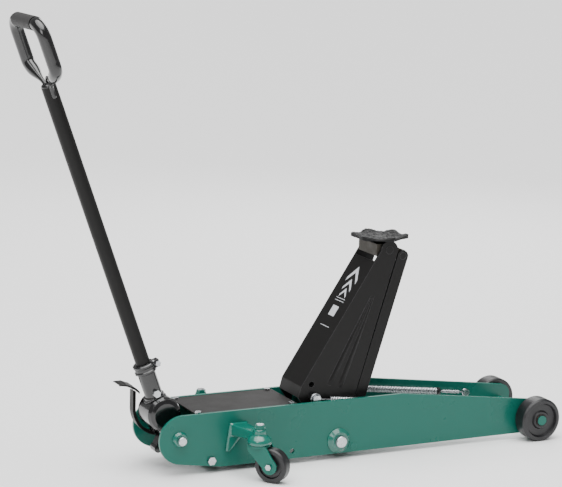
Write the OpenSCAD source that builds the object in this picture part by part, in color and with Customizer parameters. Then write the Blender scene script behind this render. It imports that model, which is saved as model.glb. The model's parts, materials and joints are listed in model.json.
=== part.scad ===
// Long-chassis trolley jack, standing on its wheels with the lift arm raised.
// +X points forward, +Z up, and Y runs along the axles. The origin is on the floor,
// under the middle of the jack's length.

/* [Chassis] */
// Width over the outer faces of the two side plates
chassis_w = 156; // [144:2:176]
// Thickness of each side plate
plate_t = 7; // [5:0.5:8]
// Height of the plates' bottom edge above the floor
plate_bottom = 13; // [10:1:16]
// Height of the flat part of the plates' top edge
plate_top = 135; // [133:1:145]
// Height of the top edge directly above the front axle
nose_top = 90; // [86:1:96]
// Distance from the front axle back to where the top edge starts to fall
crest_back = 349; // [320:1:400]
// Distance from the front axle forward to the end of the plates
nose_reach = 30; // [26:1:36]
// Corner radius at the top of the nose
nose_r = 25; // [15:1:30]
// Corner radius at the bottom of the nose
nose_foot_r = 12; // [6:1:14]
// Distance from the front axle back to the centre of the rounded tail
tail_back = 881; // [860:1:960]
// Radius of the rounded tail
tail_r = 54; // [50:1:56]
// Distance from the front axle back to where the bottom edge turns up to the tail
belly_back = 790; // [770:1:805]
// Distance from the front axle back to the hole in each plate
plate_hole_back = 619; // [600:1:640]
// Height of the hole in each plate
plate_hole_z = 30; // [26:1:36]
// Radius of the hole in each plate
plate_hole_r = 5.5; // [4:0.5:7]

/* [Front wheels] */
// Radius of a front wheel
wheel_r = 50; // [46:1:54]
// Width of a front wheel
wheel_w = 38; // [30:1:44]
// Gap between a side plate and the wheel
wheel_gap = 5; // [3:0.5:8]
// Radius of the front axle in the wheels
axle_r = 11; // [9:0.5:12]
// Outer radius of the bush pressed into each front wheel
bush_r = 14; // [13:0.5:16]
// Radius of the recess in the wheel's outer face
wheel_recess_r = 37; // [30:1:40]
// Depth of that recess
wheel_recess = 7; // [4:1:10]

/* [Casters] */
// Distance from the front axle back to the caster kingpins
caster_back = 737; // [720:1:750]
// Distance from the middle of the jack out to each kingpin
caster_side = 157; // [155:1:170]
// Radius of a caster wheel
caster_r = 37.5; // [34:0.5:38]
// Width of a caster wheel
caster_w = 24; // [20:1:26]
// Horizontal distance from the kingpin to the caster wheel's axle
caster_trail = 32; // [26:1:34]
// Direction in which the casters trail, outward from straight ahead
caster_angle = 52; // [0:1:90]
// Radius of the kingpin
kingpin_r = 8; // [6:0.5:9]
// Radius of the caster wheel's axle bolt
caster_bolt_r = 5; // [4:0.5:6]
// Thickness of the caster fork's plate
fork_t = 4; // [3:0.5:5]
// Height of the top of the kingpin
kingpin_top = 124; // [120:1:130]

/* [Lift arm] */
// Distance from the front axle back to the main pivot
pivot_back = 505; // [490:1:520]
// Height of the main pivot
pivot_z = 43; // [41:1:48]
// Radius of the main pivot shaft
pivot_r = 13; // [11:0.5:14]
// Length of the arm between the main pivot and the saddle pivot
arm_len = 436; // [424:1:440]
// Angle of the raised arm above the horizontal
arm_rise = 72.8; // [70:0.1:76]
// Angle that the arm turns through as it comes down
arm_travel = 61; // [56:1:63]
// Width over the outer faces of the arm
arm_w = 98; // [94:1:100]
// Thickness of the arm's metal
arm_t = 5; // [4:0.5:6]
// Depth of the arm from the pivot line back to its web, at the foot
arm_foot_depth = 114; // [106:1:116]
// Depth of the arm from the pivot line back to its web, at the tip
arm_tip_depth = 16; // [14:1:20]
// Distance of the arm's front edge in front of the pivot line
arm_front = 23; // [20:1:26]
// Radius of the arm's rounded tip
arm_tip_r = 21; // [18:1:22]
// Distance of the crosshead pin from the main pivot
crosshead_reach = 107; // [104:1:109]
// Angle of the crosshead pin behind the arm's pivot line
crosshead_angle = 45.4; // [43:0.1:48]
// Radius of the crosshead pin inside the arm
crosshead_pin_r = 8; // [6:0.5:9]
// Radius of the saddle pivot pin
tip_pin_r = 9; // [7:0.5:10]

/* [Levelling link and saddle] */
// Distance of the levelling link's pins in front of the main and saddle pivots
link_dx = 38; // [36:1:40]
// Distance of the levelling link's pins below the main and saddle pivots
link_dz = 17; // [16:1:18]
// Width of each levelling bar
link_w = 26; // [22:1:26]
// Thickness of each levelling bar
link_t = 6; // [4:0.5:6]
// Radius of the levelling link's pins
link_pin_r = 8; // [6:0.5:8]
// Radius of the saddle
saddle_r = 65; // [55:1:66]
// Radius of the saddle's stem
saddle_stem_r = 12; // [10:1:13]
// Number of raised lugs round the saddle
saddle_lugs = 6; // [4:1:8]

/* [Handle] */
// Distance from the front axle back to the handle's pivot
yoke_back = 888; // [886:1:967]
// Height of the handle's pivot
yoke_z = 83; // [82:1:86]
// Radius of the handle's pivot shaft
yoke_pin_r = 9.5; // [8:0.5:10]
// Angle of the handle behind the vertical
handle_lean = 19.8; // [15:0.1:25]
// Radius of the yoke's drum
drum_r = 38; // [35:1:40]
// Width of the yoke's drum
drum_w = 80; // [72:2:84]
// Distance from the handle's pivot up to the middle of the drum
drum_up = 48; // [46:1:50]
// Outer radius of the handle socket
socket_r = 19.5; // [18.5:0.5:22]
// Distance from the handle's pivot up to the top of the socket
socket_top = 166; // [155:1:180]
// Radius of the handle tube
tube_r = 16; // [14:0.5:17]
// Wall of the handle tube
tube_wall = 2.5; // [1.5:0.5:4]
// Distance from the handle's pivot up to the top of the handle tube
tube_top = 806; // [700:1:900]
// Height of the grip loop above the top of the tube, to the middle of its bar
grip_rise = 142; // [132:1:160]
// Distance from the middle to each leg of the grip loop
grip_half = 84; // [76:1:92]
// Radius of the grip loop's bar
grip_r = 14; // [11:0.5:15]

/* [Foot pedal] */
// Radius of the pedal strap's curve round the drum
pedal_r = 63; // [60:1:66]
// Thickness of the pedal strap
pedal_t = 7; // [5:0.5:8]
// Width of the pedal strap
pedal_w = 20; // [16:1:22]
// Length of the pedal's pad
pad_len = 42; // [34:1:50]
// Width of the pedal's pad
pad_w = 46; // [40:1:52]

/* [Hydraulics] */
// Height of the hydraulic cylinder's axis
ram_z = 100; // [98:1:102]
// Outer radius of the hydraulic cylinder
ram_r = 30; // [27:1:31]
// Wall of the hydraulic cylinder
ram_wall = 5; // [3:0.5:7]
// Radius of the piston rod
rod_r = 11; // [9:0.5:11]
// Height of the pump plunger's axis
pump_z = 53; // [51:1:55]
// Radius of the pump plunger
plunger_r = 8; // [6:0.5:9]
// Distance of the pump roller from the handle's pivot
roller_reach = 38; // [36:1:40]
// Radius of the pump roller
roller_r = 9; // [8:0.5:10]

/* [Return springs] */
// Outer radius of each return spring
spring_r = 9; // [7:0.5:9]
// Distance from the front axle back to the springs' front studs
stud_back = 100; // [90:1:150]
// Height of the springs' front studs
stud_z = 82; // [78:1:100]
// Radius of the springs' front studs
stud_r = 5; // [4:0.5:6]

/* [Hidden] */
$fn = 64;

// Finishes
green = [0.05, 0.42, 0.34];
black = [0.06, 0.06, 0.065];
grey = [0.22, 0.22, 0.23];
zinc = [0.75, 0.76, 0.78];
steel = [0.42, 0.41, 0.40];
nylon = [0.10, 0.10, 0.11];
bronze = [0.62, 0.47, 0.24];

// Clearances
run = 0.05;   // running fit, on the radius
still = 0.02; // between a fixed pin or bush and its hole, on the radius
gap = 0.4;    // between faces that pass each other
eps = 1;      // overrun of a cutting shape

inner = chassis_w / 2 - plate_t;
outer = chassis_w / 2;
shift = (yoke_back + (tube_top + grip_rise) * sin(handle_lean) + grip_r + 1 - wheel_r) / 2;
fall = atan((plate_top - nose_top) / crest_back);

// Front wheels
wheel_in = outer + wheel_gap;
wheel_out = wheel_in + wheel_w;
hub_face = wheel_out - 2;
ring_t = 2;

// Casters
fork_inner = caster_w / 2 + 1.5;
fork_outer = fork_inner + fork_t;
fork_top = 2 * caster_r + 0.8 + fork_t;
housing_z = fork_top + gap;
boss_top = kingpin_top - 10;
boss_r = kingpin_r + 6;

// Arm, in its own frame: u runs up the arm from the pivot, v runs back from the pivot line
crease_u0 = 93;
crease_u1 = 443;
crease_slope = atan((arm_foot_depth - arm_tip_depth) / (crease_u1 - crease_u0));
foot_u = 67;
window_u = 403;
neck_u = 52;
hub_r = 26;
tube_hub_r = pivot_r + 5.5;
tip_x = arm_len * cos(arm_rise);
tip_z = arm_len * sin(arm_rise);
pin_u = crosshead_reach * cos(crosshead_angle);
pin_v = crosshead_reach * sin(crosshead_angle);
pin_dir = arm_rise + crosshead_angle;
link_reach = sqrt(link_dx * link_dx + link_dz * link_dz);
arm_side = arm_w / 2;
stub_out = inner - 3;
stub_r = crosshead_pin_r + 1.5;

// Saddle, above the saddle pivot
carrier_top = 14;
saddle_top = 26;
carrier_half = arm_side - arm_t - 1;
bar_out = carrier_half;
bar_in = bar_out - link_t;

// Crosshead and hydraulics
crosshead_x = crosshead_reach * cos(pin_dir) - pivot_back;
crosshead_z = pivot_z + crosshead_reach * sin(pin_dir);
slot_half = crosshead_pin_r + 2;
prong = 9;
crosshead_half = slot_half + prong;
rod_travel = crosshead_reach * (cos(pin_dir - arm_travel) - cos(pin_dir));
crosshead_y = 20;
ram_front = pivot_back + 99;
ram_end_t = 12;
piston_t = 8;
ram_rear = ram_front + ram_end_t + rod_travel + piston_t + 6;
block_rear = ram_rear + 74;
block_y = 36;
block_foot = 40;
block_top = 126;
roller_dir = 262;
roller_x = -yoke_back + roller_reach * cos(roller_dir);
roller_z = yoke_z + roller_reach * sin(roller_dir);
plunger_face = roller_x + roller_r + gap;
plunger_head = 5;
plunger_travel = 42;
plunger_len = -ram_rear - 9 - plunger_travel - plunger_face;
bolt_back = 814;
bolt_z = 29;
bolt_r = 5;

// Cover
cover_t = 3;
cover_z = plate_top - 1 - cover_t;
cover_front = pivot_back + 99;
cover_rear = yoke_back - 40;
screw_side = 62.6;
screw_in = 13;

// Yoke
drum_half = drum_w / 2;
socket_foot = 58;
socket_bolt_up = 97;
collar_bolt_up = socket_top - 12;
lug_half = 13;
roller_half = 6.5;

// Pedal, curved round the drum
pedal_y = drum_half + gap;
pedal_c = [5 - yoke_back, yoke_z + 45];
pedal_low = 262;
pedal_high = 183;
pedal_rise = 42;
pad_dir = 155;
pad_slope = tan(180 - pad_dir);
pedal_in = pedal_r - pedal_t / 2;
pedal_out = pedal_r + pedal_t / 2;

function on_pedal(r, a) = pedal_c + r * [cos(a), sin(a)];

// Every part below is drawn with X measured from the front axle.
module place() {
    translate([shift, 0, 0]) children();
}

// Cylinder along Y from y0 to y1
module rod_y(r, y0, y1, x = 0, z = 0) {
    translate([x, y0, z]) rotate([-90, 0, 0]) cylinder(r = r, h = y1 - y0);
}

// Cylinder along X from x0 to x1
module rod_x(r, x0, x1, y = 0, z = 0) {
    translate([x0, y, z]) rotate([0, 90, 0]) cylinder(r = r, h = x1 - x0);
}

// Flat shape drawn in X and Z, given thickness along Y from y0 to y1
module slab_y(y0, y1) {
    translate([0, y1, 0]) rotate([90, 0, 0]) linear_extrude(y1 - y0) children();
}

// Hexagonal prism along Y
module hex_y(across, y0, y1, x = 0, z = 0) {
    translate([x, y0, z]) rotate([-90, 0, 0]) cylinder(r = across / sqrt(3), h = y1 - y0, $fn = 6);
}

// Frame of the raised arm: u along X, v along Z
module arm_frame() {
    translate([-pivot_back, 0, pivot_z]) rotate([0, -arm_rise, 0]) children();
}

// Frame of the handle: its axis is Z, starting at its pivot
module handle_frame() {
    translate([-yoke_back, 0, yoke_z]) rotate([0, -handle_lean, 0]) children();
}

// Frame of a caster's swivelling part: X runs from the kingpin towards the wheel
module caster_frame(side) {
    translate([-caster_back, side * caster_side, 0]) rotate(side * caster_angle) children();
}

// --- Chassis ---

// Points along an arc round a centre, from one angle to another
function arc_points(c, r, from, to, steps) =
    [for (i = [0 : steps]) c + r * [cos(from + (to - from) * i / steps), sin(from + (to - from) * i / steps)]];

// Outline of a side plate in X and Z, from the top of the nose round by the front and the tail
module plate_outline() {
    tail = [-tail_back, plate_top - tail_r];
    belly = [-belly_back, plate_bottom];
    reach = norm(belly - tail);
    turn = atan2(belly.y - tail.y, belly.x - tail.x) - acos(tail_r / reach);
    nose_x = nose_reach - nose_r;
    nose = [nose_x, nose_top - nose_x * tan(fall) - nose_r / cos(fall)];
    foot = [nose_reach - nose_foot_r, plate_bottom + nose_foot_r];
    polygon(concat(
        arc_points(nose, nose_r, 90 - fall, 0, 16), arc_points(foot, nose_foot_r, 0, -90, 12), [belly],
        arc_points(tail, tail_r, turn, -270, 48), [[-crest_back, plate_top]]
    ));
}

module side_plate(side) {
    low = side > 0 ? inner : -outer;
    high = low + plate_t;
    color(green) place() difference() {
        slab_y(low, high) plate_outline();
        rod_y(pivot_r + still, low - eps, high + eps, -pivot_back, pivot_z);
        rod_y(yoke_pin_r + still, low - eps, high + eps, -yoke_back, yoke_z);
        rod_y(axle_r + still, low - eps, high + eps, 0, wheel_r);
        rod_y(link_pin_r + still, low - eps, high + eps, link_dx - pivot_back, pivot_z - link_dz);
        rod_y(bolt_r + still, low - eps, high + eps, -bolt_back, bolt_z);
        rod_y(plate_hole_r, low - eps, high + eps, -plate_hole_back, plate_hole_z);
    }
}

module side_plate_right() { side_plate(-1); }

module side_plate_left() { side_plate(1); }

// Welded boss: a washer with a tapered rim, standing off the plate's outer face
module boss_ring(r_foot, r_face, r_bore, depth) {
    rotate([-90, 0, 0]) rotate_extrude() polygon([
        [r_bore, 0], [r_foot, 0], [r_foot, depth * 0.25], [r_face, depth], [r_bore, depth]
    ]);
}

module both_sides() {
    children();
    mirror([0, 1, 0]) children();
}

module main_pivot_bosses() {
    color(green) place() both_sides() translate([-pivot_back, outer, pivot_z])
        boss_ring(28, 20, pivot_r + still, 9);
}

module main_pivot_shaft() {
    reach = outer + 18;
    color(zinc) place() {
        rod_y(pivot_r, -reach + 1.5, reach - 1.5, -pivot_back, pivot_z);
        both_sides() translate([-pivot_back, reach - 1.5, pivot_z]) rotate([-90, 0, 0])
            cylinder(r1 = pivot_r, r2 = pivot_r - 1.5, h = 1.5);
    }
}

module handle_pivot_bosses() {
    color(green) place() both_sides() translate([-yoke_back, outer, yoke_z])
        boss_ring(17.5, 14, yoke_pin_r + still, 8);
}

module handle_pivot_shaft() {
    reach = outer + 18;
    color(zinc) place() {
        rod_y(yoke_pin_r, -reach + 1.2, reach - 1.2, -yoke_back, yoke_z);
        both_sides() translate([-yoke_back, reach - 1.2, yoke_z]) rotate([-90, 0, 0])
            cylinder(r1 = yoke_pin_r, r2 = yoke_pin_r - 1.2, h = 1.2);
    }
}

module handle_pivot_spacers() {
    color(zinc) place() difference() {
        union() {
            rod_y(yoke_pin_r + 4.5, 0.1 - inner, -drum_half - gap, -yoke_back, yoke_z);
            rod_y(yoke_pin_r + 4.5, pedal_y + pedal_w + gap, inner - 0.1, -yoke_back, yoke_z);
        }
        rod_y(yoke_pin_r + still, -inner, inner, -yoke_back, yoke_z);
    }
}

module cover_corners() {
    for (x = [-cover_rear + screw_in - 5, -cover_front - screw_in], y = [-screw_side, screw_side])
        translate([x, y, 0]) children();
}

module cover_plate() {
    half = inner - 0.5;
    color(grey) place() difference() {
        translate([-cover_rear, -half, cover_z]) cube([cover_rear - cover_front, 2 * half, cover_t]);
        cover_corners() translate([0, 0, cover_z - eps]) cylinder(r = 4.2, h = cover_t + 2 * eps);
    }
}

module cover_rails() {
    rail_t = 4;
    color(green) place() difference() {
        both_sides() translate([-cover_rear, inner - 14, cover_z - rail_t])
            cube([cover_rear - cover_front, 13.9, rail_t - 0.05]);
        cover_corners() translate([0, 0, cover_z - rail_t - eps]) cylinder(r = 4.02, h = rail_t + 2 * eps);
    }
}

module cover_screws() {
    color(zinc) place() cover_corners() {
        translate([0, 0, cover_z - 7]) cylinder(r = 4, h = cover_t + 7.05);
        translate([0, 0, cover_z + cover_t + 0.05]) cylinder(r = 6.5 / cos(30), h = 3.6, $fn = 6);
    }
}

module cross_bolt() {
    color(zinc) place() {
        rod_y(bolt_r, -outer - 1, outer + 9, -bolt_back, bolt_z);
        hex_y(17, -outer - 6.5, -outer - 0.05, -bolt_back, bolt_z);
        hex_y(17, outer + 0.05, outer + 7, -bolt_back, bolt_z);
    }
}

module cross_tube() {
    color(green) place() difference() {
        rod_y(bolt_r + 4, -inner + 0.05, inner - 0.05, -bolt_back, bolt_z);
        rod_y(bolt_r + 0.3, -inner - eps, inner + eps, -bolt_back, bolt_z);
    }
}

module front_axle() {
    color(green) place() {
        rod_y(axle_r, -wheel_out - 2, wheel_out + 2, 0, wheel_r);
        both_sides() difference() {
            rod_y(axle_r + 4, outer + 0.1, wheel_in - gap, 0, wheel_r);
            rod_y(axle_r - 1, outer - eps, wheel_in, 0, wheel_r);
        }
    }
}

module axle_rings() {
    color(zinc) place() both_sides() difference() {
        rod_y(axle_r + 3, hub_face + gap, hub_face + gap + ring_t, 0, wheel_r);
        rod_y(axle_r + still, hub_face, wheel_out + eps, 0, wheel_r);
    }
}

module link_anchor_pin() {
    color(green) place() rod_y(link_pin_r, -outer - 0.8, outer + 0.8,
        link_dx - pivot_back, pivot_z - link_dz);
}

module spring_studs() {
    color(zinc) place() both_sides() {
        rod_y(stud_r, inner - 17, inner - 0.05, -stud_back, stud_z);
        rod_y(stud_r + 3, inner - 19, inner - 17, -stud_back, stud_z);
    }
}

// --- Hydraulic unit ---

module hydraulic_block() {
    color(steel) place() difference() {
        union() {
            translate([-block_rear, -block_y, block_foot])
                cube([block_rear - ram_rear, 2 * block_y, block_top - block_foot]);
            rod_x(plunger_r + 7, -block_rear - 6, -block_rear + 1, 0, pump_z);
        }
        rod_x(plunger_r + run, -block_rear - 6 - eps, -ram_rear - 6, 0, pump_z);
        rod_x(6 + run, -block_rear - eps, -block_rear + 22, 0, 88);
        translate([-ram_rear - 30, 0, block_top - 8]) cylinder(r = 6.02, h = 10);
    }
}

module filler_plug() {
    color(zinc) place() translate([-ram_rear - 30, 0, block_top]) {
        translate([0, 0, -7.5]) cylinder(r = 6, h = 8);
        translate([0, 0, 0.05]) cylinder(r = 8, h = 3, $fn = 6);
    }
}

module ram_cylinder() {
    color(steel) place() difference() {
        rod_x(ram_r, -ram_rear + 0.05, -ram_front, 0, ram_z);
        rod_x(ram_r - ram_wall, -ram_rear + 4, -ram_front - ram_end_t, 0, ram_z);
        rod_x(rod_r + run, -ram_front - ram_end_t - eps, -ram_front + eps, 0, ram_z);
    }
}

module piston_rod() {
    piston_x = -ram_rear + 4.5;
    color(zinc) place() {
        rod_x(rod_r, piston_x + piston_t - 1, crosshead_x - crosshead_half + 1, 0, ram_z);
        rod_x(ram_r - ram_wall - run, piston_x, piston_x + piston_t, 0, ram_z);
        translate([crosshead_x, 0, 0]) difference() {
            translate([-crosshead_half, -crosshead_y, ram_z - 14])
                cube([2 * crosshead_half, 2 * crosshead_y, 66]);
            translate([-slot_half, -crosshead_y - eps, ram_z + 12])
                cube([2 * slot_half, 2 * crosshead_y + 2 * eps, 60]);
        }
    }
}

module release_spindle() {
    color(zinc) place() difference() {
        rod_x(6, -block_rear - 14, -block_rear + 21, 0, 88);
        translate([-block_rear - 15, -1.2, 80]) cube([6, 2.4, 16]);
    }
}

module pump_plunger() {
    color(zinc) place() {
        rod_x(plunger_r, plunger_face + plunger_head - 1, plunger_face + plunger_len, 0, pump_z);
        rod_x(plunger_r + 5, plunger_face, plunger_face + plunger_head, 0, pump_z);
    }
}

// --- Front wheels ---

module front_wheel(side) {
    rim = wheel_r;
    color(nylon) place() translate([0, 0, wheel_r]) rotate([side > 0 ? -90 : 90, 0, 0])
        translate([0, 0, wheel_in]) rotate_extrude($fn = 128) polygon([
            [bush_r, 1], [bush_r + 5, 1], [wheel_recess_r, 4], [wheel_recess_r + 2, 0],
            [rim - 3, 0], [rim, 3], [rim, wheel_w - 4], [rim - 4, wheel_w],
            [wheel_recess_r + 3, wheel_w], [wheel_recess_r, wheel_w - wheel_recess],
            [bush_r + 8, wheel_w - wheel_recess], [bush_r + 5, wheel_w - 2], [bush_r, wheel_w - 2]
        ]);
}

module front_wheel_right() { front_wheel(-1); }

module front_wheel_left() { front_wheel(1); }

module wheel_bush(side) {
    color(bronze) place() mirror([0, side > 0 ? 0 : 1, 0]) difference() {
        rod_y(bush_r - still, wheel_in + 1, hub_face, 0, wheel_r);
        rod_y(axle_r + run, wheel_in, hub_face + eps, 0, wheel_r);
    }
}

module wheel_bush_right() { wheel_bush(-1); }

module wheel_bush_left() { wheel_bush(1); }

// --- Casters ---

module caster_bracket(side) {
    root_back = 46;
    root_w = 52;
    root_t = 6;
    root_low = 46;
    root_top = 110;
    color(green) place() mirror([0, side > 0 ? 0 : 1, 0]) difference() {
        union() {
            translate([-caster_back, 0, 0]) slab_y(outer + 0.05, outer + root_t) polygon([
                [-root_back, root_low], [-root_back + 12, root_low], [-8, 78], [root_w - root_back, 84],
                [root_w - root_back, root_top], [-root_back + 9, root_top]
            ]);
            hull() {
                translate([-caster_back - root_back + 11, outer + 1, housing_z + 2])
                    cube([root_w - 13, root_t - 1.5, root_top - housing_z - 4]);
                translate([-caster_back, caster_side, housing_z + 8]) cylinder(r = 12, h = 18, $fn = 32);
            }
            translate([-caster_back, caster_side, 0]) rotate_extrude() polygon([
                [0, housing_z], [26, housing_z], [27, housing_z + 2], [27, housing_z + 7],
                [25, housing_z + 12], [20, housing_z + 17], [boss_r + 1, housing_z + 20],
                [boss_r, boss_top - 2], [boss_r - 2, boss_top], [0, boss_top]
            ]);
        }
        translate([-caster_back, caster_side, 0]) cylinder(r = kingpin_r + run, h = kingpin_top);
    }
}

module caster_bracket_right() { caster_bracket(-1); }

module caster_bracket_left() { caster_bracket(1); }

module caster_fork(side) {
    leg_r = 17;
    color(green) place() caster_frame(side) difference() {
        union() {
            translate([0, 0, fork_top - fork_t]) cylinder(r = 24, h = fork_t);
            both_sides() slab_y(fork_inner, fork_outer) {
                polygon([
                    [-20, fork_top], [22, fork_top], [caster_trail + leg_r, caster_r + 4],
                    [caster_trail + 4, caster_r - leg_r], [caster_trail - leg_r, caster_r - 4],
                    [-20, fork_top - 12]
                ]);
                translate([caster_trail, caster_r]) circle(leg_r);
            }
        }
        translate([0, 0, fork_top - fork_t - eps]) cylinder(r = kingpin_r + still, h = fork_t + 2 * eps);
        rod_y(caster_bolt_r + still, -fork_outer - eps, fork_outer + eps, caster_trail, caster_r);
    }
}

module caster_fork_right() { caster_fork(-1); }

module caster_fork_left() { caster_fork(1); }

module caster_kingpin(side) {
    color(zinc) place() caster_frame(side)
        translate([0, 0, fork_top - fork_t]) cylinder(r = kingpin_r, h = kingpin_top - fork_top + fork_t);
}

module caster_kingpin_right() { caster_kingpin(-1); }

module caster_kingpin_left() { caster_kingpin(1); }

module caster_nut(side) {
    color(zinc) place() caster_frame(side) difference() {
        union() {
            translate([0, 0, boss_top + gap]) cylinder(r = kingpin_r + 4, h = 1.5);
            translate([0, 0, boss_top + gap + 1.4]) cylinder(r = kingpin_r + 3, h = 6, $fn = 6);
        }
        cylinder(r = kingpin_r + still, h = kingpin_top + eps);
    }
}

module caster_nut_right() { caster_nut(-1); }

module caster_nut_left() { caster_nut(1); }

module caster_bolt(side) {
    color(zinc) place() caster_frame(side) {
        rod_y(caster_bolt_r, -fork_outer - 2, fork_outer + 2, caster_trail, caster_r);
        both_sides() hex_y(12, fork_outer + 0.05, fork_outer + 5, caster_trail, caster_r);
    }
}

module caster_bolt_right() { caster_bolt(-1); }

module caster_bolt_left() { caster_bolt(1); }

module caster_wheel(side) {
    half = caster_w / 2;
    color(nylon) place() caster_frame(side) translate([caster_trail, 0, caster_r])
        rotate([-90, 0, 0]) rotate_extrude($fn = 96) polygon([
            [caster_bolt_r + run, -half - 1], [13, -half - 1], [15, -half + 4], [25, -half + 4],
            [27, -half], [caster_r - 3, -half], [caster_r, -half + 3],
            [caster_r, half - 3], [caster_r - 3, half], [27, half],
            [25, half - 4], [15, half - 4], [13, half + 1], [caster_bolt_r + run, half + 1]
        ]);
}

module caster_wheel_right() { caster_wheel(-1); }

module caster_wheel_left() { caster_wheel(1); }

// --- Handle ---

module handle_yoke() {
    cheek_w = 15;
    heel_x = roller_x - 17;
    color(black) place() difference() {
        union() {
            handle_frame() translate([0, 0, drum_up]) rotate([90, 0, 0]) rotate_extrude() polygon([
                [0, -drum_half], [drum_r - 12, -drum_half], [drum_r - 4, -drum_half + 4],
                [drum_r, -drum_half + 12], [drum_r, drum_half - 12], [drum_r - 4, drum_half - 4],
                [drum_r - 12, drum_half], [0, drum_half]
            ]);
            both_sides() rod_y(19, drum_half - cheek_w - 1, drum_half - 0.5, -yoke_back, yoke_z);
            handle_frame() both_sides()
                translate([-15, drum_half - cheek_w, 0]) cube([30, cheek_w - 1, drum_up]);
            handle_frame() translate([0, 0, drum_up]) cylinder(r = socket_r + 3, h = drum_r + 2);
            handle_frame() translate([0, 0, drum_up]) cylinder(r = socket_r, h = socket_top - drum_up);
            handle_frame() translate([-12, -lug_half + 1, 0]) cube([24, 2 * lug_half - 2, drum_up]);
            rod_y(15, -lug_half, lug_half, -yoke_back, yoke_z);
            rod_y(roller_r - 2, -lug_half, lug_half, roller_x, roller_z);
            rod_y(9, -lug_half, lug_half, heel_x, roller_z + 2);
            slab_y(-lug_half + 0.5, lug_half - 0.5) polygon([
                [-yoke_back - 14, yoke_z - 2], [-yoke_back + 4, yoke_z - 13], [roller_x + 6.5, roller_z],
                [roller_x, roller_z - 6], [heel_x, roller_z - 6.5], [heel_x - 8.5, roller_z + 2]
            ]);
        }
        rod_y(yoke_pin_r + run, -drum_half - eps, drum_half + eps, -yoke_back, yoke_z);
        handle_frame() translate([0, 0, socket_foot]) cylinder(r = tube_r + run, h = socket_top);
        handle_frame() rod_y(5 + still, -socket_r - 6, 0, 0, socket_bolt_up);
        rod_y(roller_r + 1.5, -roller_half - 0.3, roller_half + 0.3, roller_x, roller_z);
        rod_y(3 + still, -lug_half - eps, lug_half + eps, roller_x, roller_z);
    }
}

module pump_roller() {
    color(zinc) place() difference() {
        rod_y(roller_r, -roller_half, roller_half, roller_x, roller_z);
        rod_y(3 + run, -roller_half - eps, roller_half + eps, roller_x, roller_z);
    }
}

module roller_pin() {
    color(zinc) place() rod_y(3, -lug_half, lug_half, roller_x, roller_z);
}

module socket_collar() {
    low = socket_top - 23;
    high = socket_top - 1;
    color(black) place() handle_frame() difference() {
        union() {
            rotate_extrude() polygon([
                [socket_r, low], [socket_r + 2, low], [socket_r + 4.5, low + 2],
                [socket_r + 4.5, low + 6], [socket_r + 2.5, low + 8], [socket_r + 2.5, high - 8],
                [socket_r + 4.5, high - 6], [socket_r + 4.5, high - 2], [socket_r + 2, high],
                [socket_r, high]
            ]);
            translate([socket_r + 1, -8, high - 19]) cube([13, 16, 16]);
        }
        cylinder(r = socket_r + still, h = socket_top + eps);
        rod_y(3.5 + still, -9, 9, socket_r + 9, collar_bolt_up);
        translate([socket_r - 1, -1, low - eps]) cube([18, 2, high - low + 2 * eps]);
    }
}

module collar_bolt() {
    color(zinc) place() handle_frame() {
        rod_y(3.5, -9, 12, socket_r + 9, collar_bolt_up);
        hex_y(11, -13, -8.05, socket_r + 9, collar_bolt_up);
        hex_y(11, 8.05, 13, socket_r + 9, collar_bolt_up);
    }
}

module socket_bolt() {
    color(zinc) place() handle_frame() {
        rod_y(5, -socket_r - 5, -tube_r - 0.3, 0, socket_bolt_up);
        hex_y(15, -socket_r - 9, -socket_r - 0.05, 0, socket_bolt_up);
    }
}

module handle_tube() {
    foot = socket_foot + 2;
    color(black) place() handle_frame() difference() {
        translate([0, 0, foot]) cylinder(r = tube_r, h = tube_top - foot);
        translate([0, 0, foot - eps]) cylinder(r = tube_r - tube_wall, h = tube_top - foot - 3);
    }
}

// Arc of a round bar in the plane of Y and Z, round a centre, from one angle to another
module bar_arc(r_bar, r_bend, y, z, start, sweep) {
    translate([0, y, z]) rotate([90, 0, 90]) rotate([0, 0, start])
        rotate_extrude(angle = sweep) translate([r_bend, 0]) circle(r_bar);
}

// Straight round bar between two points in the plane of Y and Z
module bar_line(r_bar, a, b) {
    d = b - a;
    translate([0, a.x, a.y]) rotate([-atan2(d.x, d.y), 0, 0]) cylinder(r = r_bar, h = norm(d));
}

module grip_loop() {
    bend = 27;
    hip = 34;
    low_dir = 58;
    top = tube_top + grip_rise;
    leg_y = grip_half;
    hip_z = tube_top + 64;
    hip_c = [leg_y - hip, hip_z];
    hip_p = [hip_c.x + hip * cos(low_dir), hip_c.y - hip * sin(low_dir)];
    run_in = (hip_p.x - 12) / sin(low_dir);
    foot = [hip_p.x - run_in * sin(low_dir), hip_p.y - run_in * cos(low_dir)];
    color(black) place() handle_frame() difference() {
        union() {
            both_sides() {
                bar_line(grip_r, [0, top], [leg_y - bend, top]);
                bar_arc(grip_r, bend, leg_y - bend, top - bend, 0, 90);
                bar_line(grip_r, [leg_y, hip_z], [leg_y, top - bend]);
                translate([0, 0, hip_z]) mirror([0, 0, 1]) bar_arc(grip_r, hip, hip_c.x, 0, 0, low_dir);
                bar_line(grip_r - 1, foot, hip_p);
            }
            translate([0, 0, tube_top + 0.05]) cylinder(r = tube_r, h = 12);
        }
        translate([0, 0, tube_top - 60]) cylinder(r = 3 * tube_r, h = 60.04);
    }
}

module grip_sleeve() {
    half = grip_half - 29;
    color(nylon) place() handle_frame() difference() {
        rod_y(grip_r + 1, -half, half, 0, tube_top + grip_rise);
        rod_y(grip_r + still, -half - eps, half + eps, 0, tube_top + grip_rise);
    }
}

module release_rod() {
    color(zinc) place() handle_frame() translate([0, 0, socket_foot + 4])
        cylinder(r = 5, h = tube_top - socket_foot - 10);
}

// --- Foot pedal ---

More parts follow.
